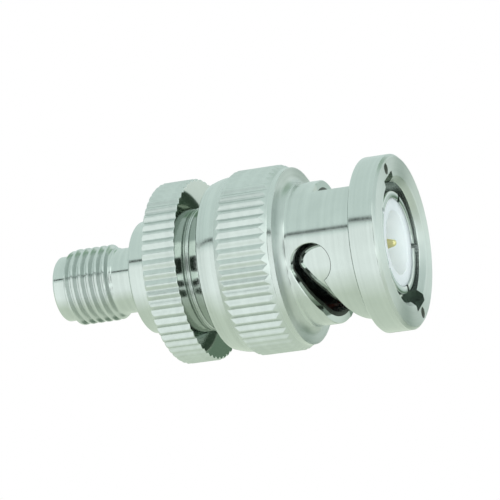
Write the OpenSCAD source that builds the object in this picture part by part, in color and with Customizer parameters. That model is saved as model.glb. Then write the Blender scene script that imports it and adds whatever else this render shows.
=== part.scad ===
// Coaxial adapter: a bayonet plug with a spring-loaded, turning coupling nut at one end and a small
// screw-thread jack at the other. It stands on the front face of the coupling nut, with its axis on Z.
// Millimetres. Z is 0 at the nut's front face and rises towards the threaded jack.

/* [Threaded jack] */
// Crest diameter of the thread
thread_d = 6.3; // [6.1:0.05:6.5]
// Length of the threaded stretch
thread_l = 4.3; // [3:0.1:6]
// Diameter of the plain nose ahead of the thread
nose_d = 5.4; // [5.2:0.05:5.6]
// Length of the plain nose
nose_l = 1.05; // [0.6:0.05:1.6]
// Diameter of the plain neck behind the thread
relief_d = 5.4; // [5.2:0.05:5.8]
// Length of the plain neck behind the thread
relief_l = 2.3; // [1:0.1:4]
// Diameter of the smooth shoulder
shoulder_d = 9.3; // [8.8:0.1:11]
// Length of the smooth shoulder
shoulder_l = 2.45; // [1.5:0.05:4]
// Diameter of the open bore at the jack's end
mate_bore_d = 4.6; // [4.4:0.05:4.7]
// Depth of the open bore, down to the mating plane
mate_bore_l = 1.93; // [1.2:0.01:2.4]
// Turned-off edges of the nose and the shoulder
jack_edge = 0.15; // [0.05:0.01:0.25]

/* [Grip disc] */
// Diameter over the knurl of the grip disc
disc_d = 15; // [13:0.1:18]
// Thickness of the grip disc
disc_l = 2.84; // [2:0.02:5]
// Chamfer on the disc's rim towards the nut
disc_chamfer = 0.08; // [0.04:0.01:0.3]
// Chamfer on the disc's rim towards the jack
disc_back_chamfer = 0.15; // [0.05:0.01:0.3]
// Number of grooves in each straight knurl
knurl_count = 55; // [36:1:58]
// Depth of the knurl's grooves
knurl_depth = 0.26; // [0.1:0.01:0.28]
// Angle between the two flanks of a knurl groove
knurl_angle = 112; // [80:1:115]

/* [Plug body] */
// Diameter of the collar that shows between disc and nut
collar_d = 10.1; // [9:0.1:10.6]
// Open length between the disc and the nut
collar_show_l = 1.62; // [0.8:0.02:3]
// Length of the boss on the disc that the collar seats on
boss_l = 0.27; // [0.1:0.01:0.6]
// Small chamfers that meet at the seam between boss and collar
seam_edge = 0.06; // [0.02:0.01:0.1]
// Room between the journal that the nut turns on and the washers' outer edge
washer_w = 1; // [0.7:0.05:1.2]
// Diameter of the spigot that is pressed into the jack
spigot_d = 7.2; // [6.4:0.05:8]
// Length of the spigot that is pressed into the jack
spigot_l = 4.2; // [3.2:0.05:4.6]
// Wall of the plug body at the front seat that carries the outer contact
core_wall = 1.1; // [0.8:0.05:1.3]
// Length of the front seat that carries the outer contact
seat_l = 4; // [2:0.1:4.5]

/* [Outer contact] */
// Gap between the slotted contact sleeve and the nut's bore, which takes the mating jack's tube
jack_gap = 0.68; // [0.6:0.02:0.8]
// Wall of the contact sleeve
sleeve_wall = 0.6; // [0.4:0.02:0.8]
// Wall of the contact sleeve where it is pressed on its seat
seat_wall = 0.8; // [0.65:0.05:1]
// Distance of the sleeve's end behind the nut's front face
sleeve_setback = 0.5; // [0.2:0.05:1.5]
// Length of the flange at the foot of the sleeve
flange_l = 0.6; // [0.4:0.05:1.2]
// Number of slots that make the spring fingers
finger_count = 5; // [4:1:8]
// Width of a slot between two fingers
finger_slot_w = 0.4; // [0.2:0.02:0.6]
// Length of a slot between two fingers
finger_slot_l = 4.4; // [2:0.1:5]
// Direction of the first finger slot, in degrees
finger_turn = 97; // [0:1:359]
// Rounded edge at the tip of the sleeve
sleeve_edge = 0.15; // [0.05:0.01:0.2]

/* [Gasket] */
// Length of the sealing ring on the sleeve
gasket_l = 1; // [0.6:0.05:2]
// Rounded edges of the sealing ring
gasket_edge = 0.08; // [0.02:0.01:0.12]

/* [Coupling nut] */
// Bore that takes the mating jack
mouth_d = 9.76; // [9.65:0.01:9.9]
// Chamfer at the mouth of the bore
mouth_chamfer = 0.42; // [0.1:0.02:0.6]
// Diameter of the front ring
ring_d = 14.25; // [13:0.05:15]
// Length of the front ring
ring_l = 2.33; // [1.8:0.02:3]
// Chamfer on the front edge of the front ring
ring_chamfer = 0.22; // [0.05:0.01:0.3]
// Chamfer on the rear edge of the front ring
ring_back_chamfer = 0.11; // [0.05:0.01:0.3]
// Diameter of the slotted neck
neck_d = 11.7; // [11.2:0.05:12.4]
// Length of the slotted neck
neck_l = 5.62; // [5.6:0.02:7]
// Rounded inner corner between the neck and the front face of the grip
grip_fillet = 0.7; // [0.3:0.05:0.8]
// Diameter of the plain band at the front of the grip
grip_band_d = 14.5; // [13.8:0.05:14.9]
// Length of the plain band at the front of the grip
grip_band_l = 0.4; // [0.2:0.05:1]
// Broken front edge of the plain band
grip_edge = 0.06; // [0.02:0.01:0.15]
// Length of the cone between the plain band and the knurl
grip_cone_l = 0.55; // [0.3:0.05:2]
// Diameter over the knurl of the nut
grip_d = 15.2; // [14.8:0.1:17]
// Length of the knurl of the nut
grip_l = 3.45; // [2:0.05:8]
// Length of the step from the knurl down to the rear lip
lip_step_l = 0.6; // [0.1:0.05:0.8]
// Diameter of the rear lip beside the knurl
lip_d = 14.4; // [13.6:0.05:14.6]
// Diameter of the rear lip at its end
lip_end_d = 13.8; // [12.6:0.05:14]
// Length of the tapered rear lip
lip_l = 1.7; // [1:0.05:4]
// Rounded edge of the rear lip
lip_round = 0.2; // [0.1:0.05:0.5]
// Diameter of the recess in the nut's rear face
recess_d = 11.1; // [10.7:0.05:11.8]
// Depth of the recess in the nut's rear face
recess_l = 0.6; // [0.3:0.05:1]
// Thickness of the inner web that turns on the journal
web_l = 0.75; // [0.5:0.05:1.2]
// Travel of the nut towards its mouth, against the spring
nut_travel = 0.8; // [0.3:0.05:0.9]

/* [Bayonet track] */
// Width of the sloping slot that takes a lug
slot_w = 2.05; // [1.8:0.05:2.3]
// Direction of the first entry channel, in degrees
entry_turn = 160; // [0:1:359]
// Angle that the slot sweeps from the entry channel to its end
slot_sweep = 101; // [80:1:110]
// Distance from the front ring to the slot's middle at the entry channel
slot_lead = 1.3; // [1.1:0.01:1.35]
// Rise of the slot's middle from the entry channel to its end
slot_rise = 3.22; // [2.6:0.01:3.25]
// Diameter of the round locking hole at the slot's end
lock_d = 3.3; // [2.4:0.05:3.4]
// Distance of the locking hole's middle in front of the slot's end
lock_drop = 0.67; // [0.6:0.01:1]
// Angle of the locking hole past the slot's end
lock_past = 2; // [0:0.5:6]
// Width of an entry channel
entry_w = 2.35; // [2.1:0.05:2.6]
// Length of the open entry in the neck, from the front ring towards the grip
entry_l = 3.75; // [3.6:0.05:4.2]
// Angle over which the open entry narrows to the width of the sloping slot
entry_sweep = 58; // [40:1:70]
// Diameter across the floors of the two entry channels
entry_d = 11.4; // [11.2:0.05:12.4]
// Diameter of the small punch mark in front of each channel
mark_d = 0.9; // [0.4:0.05:1]
// Depth of the punch mark
mark_depth = 0.22; // [0.05:0.01:0.4]
// Distance of a punch mark from the axis
mark_r = 6.3; // [6.2:0.05:6.4]

/* [Spring stack] */
// Thickness of each flat washer
washer_t = 0.25; // [0.15:0.05:0.4]
// Height of the two wave washers when the nut is pushed fully forward
wave_shut_l = 0.5; // [0.45:0.05:0.9]
// Sheet thickness of a wave washer
wave_t = 0.18; // [0.1:0.01:0.2]
// Number of waves round each wave washer
wave_count = 3; // [3:1:5]
// Thickness of the retaining ring
clip_t = 0.45; // [0.3:0.05:0.6]
// Width of the retaining ring's section
clip_w = 0.85; // [0.6:0.05:0.95]
// Depth of its groove in the journal
groove_depth = 0.28; // [0.2:0.02:0.4]
// Width of the land between that groove and the outer contact
land_l = 0.4; // [0.2:0.05:1]
// Opening of the retaining ring, in degrees
clip_open = 50; // [20:5:90]

/* [Insulators and contacts] */
// Distance of the plug insulator's face behind the nut's front face
insulator_setback = 0.63; // [0.3:0.01:2]
// Width of the plug insulator's flat rim, round the well
rim_w = 0.99; // [0.8:0.01:1.3]
// Depth of the well round the centre pin
well_l = 5; // [3:0.1:6]
// Diameter of the centre pin
pin_d = 1.35; // [1.3:0.01:1.4]
// Diameter of the pin's tip
pin_tip_d = 0.6; // [0.4:0.05:0.9]
// Length of the taper towards the tip
pin_taper_l = 1.9; // [0.5:0.1:3]
// Distance of the pin's tip behind the nut's front face
pin_setback = 0.7; // [0.3:0.01:2]
// Diameter of the spigot that joins pin and socket
joint_d = 0.8; // [0.6:0.02:0.9]
// Length of the spigot that joins pin and socket
joint_l = 2; // [1:0.1:3]
// Diameter of the jack's insulator
jack_insulator_d = 4.1; // [3.9:0.05:4.2]
// Outer diameter of the socket contact
socket_d = 1.27; // [1.2:0.01:1.4]
// Bore of the socket contact
socket_bore_d = 0.94; // [0.9:0.01:1]
// Depth of the socket contact's bore
socket_bore_l = 3; // [2:0.1:3.5]
// Number of slots across the mouth of the socket contact
socket_slots = 2; // [1:1:3]
// Width of the slots in the socket contact
socket_slot_w = 0.18; // [0.1:0.01:0.3]
// Length of the slots in the socket contact
socket_slot_l = 2.4; // [1:0.1:2.8]

/* [Clearances] */
// Gap between the journal and the web that turns on it
run_gap = 0.04; // [0.02:0.01:0.08]
// Gap between the journal and the washers that it guides
slide_gap = 0.1; // [0.05:0.01:0.2]
// Gap between the nut's bore and the pieces that stay inside it
turn_gap = 0.28; // [0.15:0.01:0.32]
// Gap round pieces that are pressed or seated together
seat_gap = 0.01; // [0.005:0.005:0.03]

/* [Hidden] */
$fn = 96;

nickel = "#c9d0c9";
gold = "#d9b64a";
ptfe = "#f2f4f3";
silicone = "#7a1f1c";
spring_steel = "#9aa0a2";

// How far a cutting solid reaches past the face that it opens
cut = 0.5;
bayonet_tracks = 2;

// Heights along the axis: the nut, from its front face to its rear end
ring_z = ring_l;
neck_z = ring_z + neck_l;
face_z = neck_z + grip_fillet;
cone_z = face_z + grip_band_l;
grip_z = cone_z + grip_cone_l;
grip_end_z = grip_z + grip_l;
lip_z = grip_end_z + lip_step_l;
nut_end_z = lip_z + lip_l;

// The web in the nut and the spring stack in front of it
wave_l = wave_shut_l + nut_travel;
stop_z = nut_end_z - recess_l;
web_z = stop_z - web_l;
thrust_z = web_z - washer_t;
wave_z = thrust_z - wave_l;
flat_z = wave_z - washer_t;
clip_z = flat_z - clip_t;
contact_z = clip_z - land_l;

// The body, from the disc to the end of the threaded jack
disc_z = nut_end_z + collar_show_l;
boss_z = disc_z - boss_l;
shoulder_z = disc_z + disc_l;
relief_z = shoulder_z + shoulder_l;
thread_z = relief_z + relief_l;
nose_z = thread_z + thread_l;
end_z = nose_z + nose_l;
mate_z = end_z - mate_bore_l;
spigot_z = boss_z + spigot_l;

// The outer contact and what it holds
seat_z = contact_z - seat_l;
flange_z = contact_z - flange_l;

// Radii that follow from the diameters above
bore_r = mouth_d / 2;
collar_r = collar_d / 2;
inner_r = bore_r - turn_gap;
journal_r = inner_r - washer_w;
groove_r = journal_r - groove_depth;
sleeve_r = bore_r - jack_gap;
sleeve_bore_r = sleeve_r - sleeve_wall;
seat_r = sleeve_r - seat_wall;
core_r = seat_r - core_wall;
neck_r = neck_d / 2;
guide_r = journal_r + slide_gap;

// The wave washers share the height of the spring, each with its crests just clear of its neighbours
wave_washers = 2;
wave_clear = 0.02;
wave_rise = (wave_l - (wave_washers + 1) * wave_clear) / wave_washers;
wave_swing = (wave_rise - wave_t) / 2;
wave_steps = 60;

// The sloping slot and the open entry that leads into it
slot_steps = 24;
slot_start_z = ring_z + slot_lead;
slot_end_z = slot_start_z + slot_rise;
entry_z = ring_z + entry_l - slot_w / 2;
merge_z = slot_start_z + slot_rise * entry_sweep / slot_sweep;
lock_z = slot_end_z - lock_drop;
slot_in_r = bore_r - cut;
slot_out_r = neck_r + cut;

// Points of an arc about a centre, from one angle to another
function arc(centre, r, from, to, steps = 4) =
    [for (i = [0 : steps]) centre + r * [cos(from + (to - from) * i / steps),
                                         sin(from + (to - from) * i / steps)]];

// A solid of revolution from an outline of [radius, height] points
module turned(outline) {
    rotate_extrude()
        polygon(outline);
}

// A round bar along the axis between two heights
module bar(d, from_z, to_z) {
    translate([0, 0, from_z])
        cylinder(d = d, h = to_z - from_z);
}

// A plain tube along the axis between two heights
module tube(outer_r, hole_r, from_z, to_z) {
    turned([[hole_r, from_z], [outer_r, from_z], [outer_r, to_z], [hole_r, to_z]]);
}

// The V grooves of a straight knurl, round a bar of diameter d
module knurl_grooves(d, from_z, to_z) {
    half_w = (knurl_depth + cut) * tan(knurl_angle / 2);
    for (i = [0 : knurl_count - 1])
        rotate([0, 0, 360 * i / knurl_count])
            translate([0, 0, from_z])
                linear_extrude(to_z - from_z)
                    polygon([[d / 2 - knurl_depth, 0], [d / 2 + cut, -half_w], [d / 2 + cut, half_w]]);
}

// A round hole from the inside of the neck to its outside
module radial_hole(d, turn, z) {
    rotate([0, 0, turn])
        translate([slot_in_r, 0, z])
            rotate([0, 90, 0])
                cylinder(d = d, h = slot_out_r - slot_in_r);
}

// A slot swept round the axis from the entry channel, rising between two heights of its middle; its slope
// is taken on the outside of the neck
module slot_ramp(sweep, from_z, to_z) {
    slope = atan((to_z - from_z) / (neck_r * sweep * PI / 180));
    half_l = slot_w / 2 / cos(slope);
    points = [for (i = [0 : slot_steps])
        let (turn = entry_turn + sweep * i / slot_steps,
             z = from_z + (to_z - from_z) * i / slot_steps)
        for (corner = [[slot_in_r, -1], [slot_out_r, -1], [slot_out_r, 1], [slot_in_r, 1]])
            [corner[0] * cos(turn), corner[0] * sin(turn), z + corner[1] * half_l]];
    last = 4 * slot_steps;
    sides = [for (i = [0 : slot_steps - 1], k = [0 : 3])
        let (a = 4 * i + k, b = 4 * i + (k + 1) % 4)
        [b, b + 4, a + 4, a]];
    polyhedron(points, concat(sides, [[3, 2, 1, 0]], [[last, last + 1, last + 2, last + 3]]));
}

// One bayonet track: entry channel, wide entry, sloping slot and round locking hole
module bayonet_track() {
    rotate([0, 0, entry_turn]) {
        translate([0, -entry_w / 2, -cut])
            cube([entry_d / 2, entry_w, slot_start_z + cut]);
        translate([0, -entry_w / 2, ring_z])
            cube([slot_out_r, entry_w, entry_l]);
        translate([mark_r, 0, -cut])
            cylinder(d1 = mark_d + mark_d * cut / mark_depth, d2 = 0, h = mark_depth + cut);
    }
    slot_ramp(entry_sweep, entry_z, merge_z);
    slot_ramp(slot_sweep, slot_start_z, slot_end_z);
    radial_hole(slot_w, entry_turn + slot_sweep, slot_end_z);
    radial_hole(lock_d, entry_turn + slot_sweep + lock_past, lock_z);
}

// A ring of wavy sheet; side is 1 or -1 and turns its crests over
module wave_ring(middle_z, side) {
    section = [[guide_r, -1], [inner_r, -1], [inner_r, 1], [guide_r, 1]];
    points = [for (i = [0 : wave_steps - 1])
        let (turn = 360 * i / wave_steps)
        for (corner = section)
            [corner[0] * cos(turn), corner[0] * sin(turn),
             middle_z + side * wave_swing * cos(wave_count * turn) + corner[1] * wave_t / 2]];
    total = 4 * wave_steps;
    faces = [for (i = [0 : wave_steps - 1], k = [0 : 3])
        let (a = 4 * i + k, b = 4 * i + (k + 1) % 4)
        [b, (b + 4) % total, (a + 4) % total, a]];
    polyhedron(points, faces);
}

// Threaded jack, smooth shoulder and knurled grip disc, turned from one bar
module sma_body() {
    color(nickel)
        difference() {
            turned([
                [0, boss_z],
                [collar_r - seam_edge, boss_z],
                [collar_r, boss_z + seam_edge],
                [collar_r, disc_z],
                [disc_d / 2 - disc_chamfer, disc_z],
                [disc_d / 2, disc_z + disc_chamfer],
                [disc_d / 2, shoulder_z - disc_back_chamfer],
                [disc_d / 2 - disc_back_chamfer, shoulder_z],
                [shoulder_d / 2, shoulder_z],
                [shoulder_d / 2, relief_z - jack_edge],
                [shoulder_d / 2 - jack_edge, relief_z],
                [relief_d / 2, relief_z],
                [relief_d / 2, thread_z],
                [thread_d / 2, thread_z],
                [thread_d / 2, nose_z - (thread_d - nose_d) / 2],
                [nose_d / 2, nose_z],
                [nose_d / 2, end_z - jack_edge],
                [nose_d / 2 - jack_edge, end_z],
                [0, end_z]]);
            knurl_grooves(disc_d, disc_z - cut, shoulder_z + cut);
            bar(mate_bore_d, mate_z, end_z + cut);
            bar(jack_insulator_d + 2 * seat_gap, spigot_z - cut, mate_z + cut);
            bar(spigot_d + 2 * seat_gap, boss_z - cut, spigot_z + seat_gap);
        }
}

// Plug body: collar, journal with the groove of the retaining ring, and the seats at its two ends
module bnc_body() {
    color(nickel)
        turned([
            [core_r, seat_z],
            [seat_r, seat_z],
            [seat_r, contact_z],
            [journal_r, contact_z],
            [journal_r, clip_z],
            [groove_r, clip_z],
            [groove_r, flat_z],
            [journal_r, flat_z],
            [journal_r, stop_z],
            [collar_r, stop_z],
            [collar_r, boss_z - seam_edge],
            [collar_r - seam_edge, boss_z],
            [spigot_d / 2, boss_z],
            [spigot_d / 2, spigot_z],
            [core_r, spigot_z]]);
}

// Outer contact: a sleeve slotted into spring fingers, on a flange that is pressed on the plug body
module outer_contact() {
    hole_r = seat_r + seat_gap;
    color(nickel)
        difference() {
            turned(concat(
                [[sleeve_bore_r, sleeve_setback]],
                arc([sleeve_r - sleeve_edge, sleeve_setback + sleeve_edge], sleeve_edge, -90, 0),
                [[sleeve_r, flange_z],
                 [inner_r, flange_z],
                 [inner_r, contact_z],
                 [hole_r, contact_z],
                 [hole_r, seat_z],
                 [sleeve_bore_r, seat_z]]));
            for (i = [0 : finger_count - 1])
                rotate([0, 0, finger_turn + 360 * i / finger_count])
                    translate([0, -finger_slot_w / 2, sleeve_setback - cut])
                        cube([sleeve_r + cut, finger_slot_w, finger_slot_l + cut]);
        }
}

// Soft sealing ring, pushed over the sleeve against its flange
module gasket() {
    hole_r = sleeve_r + seat_gap;
    front_z = flange_z - gasket_l;
    color(silicone)
        turned(concat(
            arc([hole_r + gasket_edge, front_z + gasket_edge], gasket_edge, 180, 270),
            arc([inner_r - gasket_edge, front_z + gasket_edge], gasket_edge, 270, 360),
            [[inner_r, flange_z], [hole_r, flange_z]]));
}

// Coupling nut: front ring, neck with two bayonet tracks, knurled grip and the web that turns on the journal
module coupling_nut() {
    band_r = grip_band_d / 2;
    lip_end_r = lip_end_d / 2;
    web_hole_d = 2 * (journal_r + run_gap);
    color(nickel)
        difference() {
            turned(concat(
                [[0, 0],
                 [ring_d / 2 - ring_chamfer, 0],
                 [ring_d / 2, ring_chamfer],
                 [ring_d / 2, ring_z - ring_back_chamfer],
                 [ring_d / 2 - ring_back_chamfer, ring_z],
                 [neck_r, ring_z]],
                arc([neck_r + grip_fillet, neck_z], grip_fillet, 180, 90),
                [[band_r - grip_edge, face_z],
                 [band_r, face_z + grip_edge],
                 [band_r, cone_z],
                 [grip_d / 2, grip_z],
                 [grip_d / 2, grip_end_z],
                 [lip_d / 2, lip_z]],
                arc([lip_end_r - lip_round, nut_end_z - lip_round], lip_round, 0, 90),
                [[0, nut_end_z]]));
            knurl_grooves(grip_d, cone_z, lip_z + cut);
            bar(mouth_d, -cut, web_z);
            translate([0, 0, -cut])
                cylinder(d1 = mouth_d + 2 * (mouth_chamfer + cut), d2 = mouth_d, h = mouth_chamfer + cut);
            bar(web_hole_d, web_z - cut, stop_z + cut);
            bar(recess_d, stop_z, nut_end_z + cut);
            for (i = [0 : bayonet_tracks - 1])
                rotate([0, 0, 360 * i / bayonet_tracks])
                    bayonet_track();
        }
}

// Flat washer between the nut's web and the spring
module thrust_washer() {
    color(spring_steel)
        tube(inner_r, guide_r, thrust_z, web_z);
}

// Wave washer next to the thrust washer
module wave_washer_rear() {
    color(spring_steel)
        wave_ring(thrust_z - wave_clear - wave_rise / 2, -1);
}

// Wave washer next to the retaining ring's washer
module wave_washer_front() {
    color(spring_steel)
        wave_ring(wave_z + wave_clear + wave_rise / 2, 1);
}

// Flat washer between the spring and the retaining ring
module flat_washer() {
    color(spring_steel)
        tube(inner_r, journal_r + seat_gap, flat_z, wave_z);
}

// Open ring, sprung into the groove of the journal
module retaining_ring() {
    color(spring_steel)
        rotate([0, 0, clip_open / 2])
            rotate_extrude(angle = 360 - clip_open)
                translate([groove_r + seat_gap, clip_z])
                    square([clip_w, clip_t]);
}

// Stepped insulator of the plug, with a well round the pin
module bnc_insulator() {
    wide_r = sleeve_bore_r - seat_gap;
    slim_r = core_r - seat_gap;
    well_r = wide_r - rim_w;
    hole_r = pin_d / 2 + seat_gap;
    well_z = insulator_setback + well_l;
    color(ptfe)
        turned([
            [well_r, insulator_setback],
            [wide_r, insulator_setback],
            [wide_r, seat_z],
            [slim_r, seat_z],
            [slim_r, spigot_z],
            [hole_r, spigot_z],
            [hole_r, well_z],
            [well_r, well_z]]);
}

// Straight insulator of the threaded jack
module sma_insulator() {
    color(ptfe)
        tube(jack_insulator_d / 2, socket_d / 2 + seat_gap, spigot_z + seat_gap, mate_z);
}

// Gilt centre pin with a long taper to its rounded tip, and a spigot for the socket
module centre_pin() {
    tip_r = pin_tip_d / 2;
    tip_z = pin_setback + tip_r;
    joint_r = joint_d / 2;
    color(gold)
        turned(concat(
            arc([0, tip_z], tip_r, -90, 0),
            [[pin_d / 2, pin_setback + pin_taper_l],
             [pin_d / 2, spigot_z],
             [joint_r, spigot_z],
             [joint_r, spigot_z + joint_l],
             [0, spigot_z + joint_l]]));
}

// Gilt socket contact, slotted at its mouth and bored at its foot for the pin's spigot
module socket_contact() {
    color(gold)
        difference() {
            bar(socket_d, spigot_z + seat_gap, mate_z);
            bar(socket_bore_d, mate_z - socket_bore_l, mate_z + cut);
            bar(joint_d + 2 * seat_gap, spigot_z - cut, spigot_z + joint_l + seat_gap);
            for (i = [0 : socket_slots - 1])
                rotate([0, 0, 180 * i / socket_slots])
                    translate([-socket_d / 2 - cut, -socket_slot_w / 2, mate_z - socket_slot_l])
                        cube([socket_d + 2 * cut, socket_slot_w, socket_slot_l + cut]);
        }
}

sma_body();
bnc_body();
outer_contact();
gasket();
coupling_nut();
thrust_washer();
wave_washer_rear();
wave_washer_front();
flat_washer();
retaining_ring();
bnc_insulator();
sma_insulator();
centre_pin();
socket_contact();
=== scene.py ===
"""A straight coaxial adapter: a bayonet plug with a turning coupling nut, and a threaded jack.

The pieces follow in the order in which the adapter is put together. Sizes are in millimetres until a mesh
is made.
"""
import math

import bmesh
import bpy
import numpy as np
from mathutils import Matrix, Vector


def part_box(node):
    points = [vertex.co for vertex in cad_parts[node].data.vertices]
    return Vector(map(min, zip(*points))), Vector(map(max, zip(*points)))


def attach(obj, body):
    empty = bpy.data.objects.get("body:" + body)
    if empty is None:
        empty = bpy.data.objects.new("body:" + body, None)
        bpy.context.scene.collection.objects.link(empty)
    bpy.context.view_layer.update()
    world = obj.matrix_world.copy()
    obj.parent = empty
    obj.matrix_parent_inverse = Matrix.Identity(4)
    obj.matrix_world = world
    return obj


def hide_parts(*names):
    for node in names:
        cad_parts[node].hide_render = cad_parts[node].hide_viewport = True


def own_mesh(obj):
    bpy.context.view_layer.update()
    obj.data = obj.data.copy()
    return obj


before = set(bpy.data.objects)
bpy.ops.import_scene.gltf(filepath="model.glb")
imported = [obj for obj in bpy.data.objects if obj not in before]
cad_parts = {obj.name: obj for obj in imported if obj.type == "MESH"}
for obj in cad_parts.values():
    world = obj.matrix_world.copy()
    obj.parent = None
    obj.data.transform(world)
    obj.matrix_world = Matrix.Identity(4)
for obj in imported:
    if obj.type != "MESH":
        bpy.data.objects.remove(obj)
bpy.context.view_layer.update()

# Plug body
# A brass core, turned on a lathe and plated with bright nickel. Only its collar shows, between the grip
# disc and the coupling nut; its journal carries the nut and its spigot is pressed into the jack.
MM = 0.001
MERGE = 0.0001
EDGE = 0.04
EDGE_SHARE = 0.4
EDGE_STEPS = np.array([0, 1 / 3, 2 / 3, 1])[:, None, None, None]
SHARP_ANGLE = math.radians(40)
# Sockets of a Mix node that mixes two colours: its share, both colours and its output.
MIX_SHARE = 0
MIX_FROM = 6
MIX_TO = 7
MIXED = 2
AXIS = (0, 0, 1)
ACROSS = (1, 1, 0)
NICKEL = "#CCD2CF"
NICKEL_DULL = "#C3C9C6"
HAZE_SIZE = 2.5
HAZE_DETAIL = 3.0
HAZE_RANGE = (0.7, 1.3)
STREAK_PITCH = 0.4
TURNING_PITCH = 0.11
TOOL_RING_DETAIL = 2.0
TOOL_RING_RANGE = (0.3, 0.7)
TOOL_RING_BUMP = 0.15
TOOL_RING_HEIGHT = 0.01
TOOL_SMEAR = 0.92
SMEAR_TURN = 0.25
COLLAR_GLOSS = (0.06, 0.10)
SMOOTH_COLUMNS = 240
CORE_R = 2.3
SEAT_R = 3.4
JOURNAL_R = 3.6
GROOVE_R = 3.32
SEAM_EDGE = 0.06
RECESS_DEPTH = 0.6


def span(node):
    """Lowest height, highest height and radius of a CAD node, in millimetres."""
    low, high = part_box(node)
    return low.z / MM, high.z / MM, high.y / MM


def linear(code):
    """An sRGB hex code as linear RGBA: ((c + 0.055) / 1.055) ** 2.4 above the toe, c / 12.92 below it."""
    c = np.array([int(code[i:i + 2], 16) for i in (1, 3, 5)]) / 255
    return (*np.where(c > 0.04045, ((c + 0.055) / 1.055) ** 2.4, c / 12.92), 1.0)


def add(tree, kind, *inputs, **settings):
    """Adds a node with its properties; each input is (socket, value) or (socket, output of another node)."""
    new = tree.nodes.new(kind)
    for name, value in settings.items():
        setattr(new, name, value)
    for socket, value in inputs:
        if isinstance(value, bpy.types.NodeSocket):
            tree.links.new(value, new.inputs[socket])
        else:
            new.inputs[socket].default_value = value
    return new


def new_material(name, *inputs):
    """A material, its tree and its Principled shader, which gets the constants on its own sockets."""
    material = bpy.data.materials.new(name)
    material.use_nodes = True
    shader = material.node_tree.nodes["Principled BSDF"]
    for socket, value in inputs:
        shader.inputs[socket].default_value = value
    return material, material.node_tree, shader


def lathe_rings(tree, pitch):
    """Noise over reach from the axis and height alone, which draws the rings that a turning tool leaves."""
    place = add(tree, "ShaderNodeTexCoord").outputs["Object"]
    across = add(tree, "ShaderNodeVectorMath", (0, place), (1, ACROSS), operation="MULTIPLY")
    reach = add(tree, "ShaderNodeVectorMath", (0, across.outputs[0]), operation="LENGTH")
    height = add(tree, "ShaderNodeSeparateXYZ", (0, place))
    spot = add(tree, "ShaderNodeCombineXYZ", ("X", reach.outputs["Value"]), ("Y", height.outputs["Z"]))
    return add(tree, "ShaderNodeTexNoise", ("Vector", spot.outputs[0]), ("Scale", 1 / (pitch * MM)),
               ("Detail", TOOL_RING_DETAIL), noise_dimensions="2D").outputs[0]


def nickel_tone(tree):
    """Plated colour with a faint haze over a few millimetres and faint streaks round the axis."""
    place = add(tree, "ShaderNodeTexCoord").outputs["Object"]
    haze = add(tree, "ShaderNodeTexNoise", ("Vector", place), ("Scale", 1 / (HAZE_SIZE * MM)),
               ("Detail", HAZE_DETAIL))
    both = add(tree, "ShaderNodeMath", (0, haze.outputs[0]), (1, lathe_rings(tree, STREAK_PITCH)))
    share = add(tree, "ShaderNodeMapRange", ("Value", both.outputs[0]), ("From Min", HAZE_RANGE[0]),
                ("From Max", HAZE_RANGE[1]))
    return add(tree, "ShaderNodeMix", (MIX_SHARE, share.outputs[0]), (MIX_FROM, linear(NICKEL)),
               (MIX_TO, linear(NICKEL_DULL)), data_type="RGBA").outputs[MIXED]


def turned_nickel_plate(name, gloss_range):
    """Bright nickel over turned brass: the tool's rings smear reflections along the axis and leave them
    sharp round it. The rings are drawn about twice as coarse as real ones, so that they show."""
    material, tree, shader = new_material(name, ("Metallic", 1.0), ("Anisotropic", TOOL_SMEAR),
                                          ("Anisotropic Rotation", SMEAR_TURN))
    place = add(tree, "ShaderNodeTexCoord").outputs["Object"]
    around = add(tree, "ShaderNodeVectorMath", (0, AXIS), (1, place), operation="CROSS_PRODUCT")
    along_tool = add(tree, "ShaderNodeVectorTransform", (0, around.outputs[0]), vector_type="VECTOR",
                     convert_from="OBJECT", convert_to="WORLD")
    rings = lathe_rings(tree, TURNING_PITCH)
    gloss = add(tree, "ShaderNodeMapRange", ("Value", rings), ("From Min", TOOL_RING_RANGE[0]),
                ("From Max", TOOL_RING_RANGE[1]), ("To Min", gloss_range[0]), ("To Max", gloss_range[1]))
    bump = add(tree, "ShaderNodeBump", ("Strength", TOOL_RING_BUMP), ("Distance", TOOL_RING_HEIGHT * MM),
               ("Height", rings))
    tree.links.new(nickel_tone(tree), shader.inputs["Base Color"])
    tree.links.new(gloss.outputs[0], shader.inputs["Roughness"])
    tree.links.new(bump.outputs[0], shader.inputs["Normal"])
    tree.links.new(along_tool.outputs[0], shader.inputs["Tangent"])
    return material


def columns(points, count):
    """An outline of (radius, height) points as an array (points, columns, 2). A value may be a row of its
    own, with a number for each column."""
    rows = [[np.broadcast_to(value, count) for value in point] for point in points]
    return np.array(rows, float).swapaxes(1, 2)


def eased(path, ease=EDGE):
    """Rounds the inner corners of an open outline with a short parabola from one edge to the next. A point
    of it is (1 - t)^2 start + 2 t (1 - t) corner + t^2 end, where start and end lie ease from the corner,
    or a share of the edge where that is short."""
    corner = path[1:-1]
    back, ahead = path[:-2] - corner, path[2:] - corner
    back_l, ahead_l = (np.linalg.norm(side, axis=-1, keepdims=True) for side in (back, ahead))
    start = corner + back * np.minimum(ease / back_l, EDGE_SHARE)
    end = corner + ahead * np.minimum(ease / ahead_l, EDGE_SHARE)
    t = EDGE_STEPS
    curve = (1 - t) ** 2 * start + 2 * t * (1 - t) * corner + t ** 2 * end
    return np.concatenate([path[:1], curve.swapaxes(0, 1).reshape(-1, *path.shape[1:]), path[-1:]])


def even_turns(count):
    """Angles of a full turn, with the last column on top of the first."""
    return np.linspace(0, 2 * math.pi, count + 1)


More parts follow.
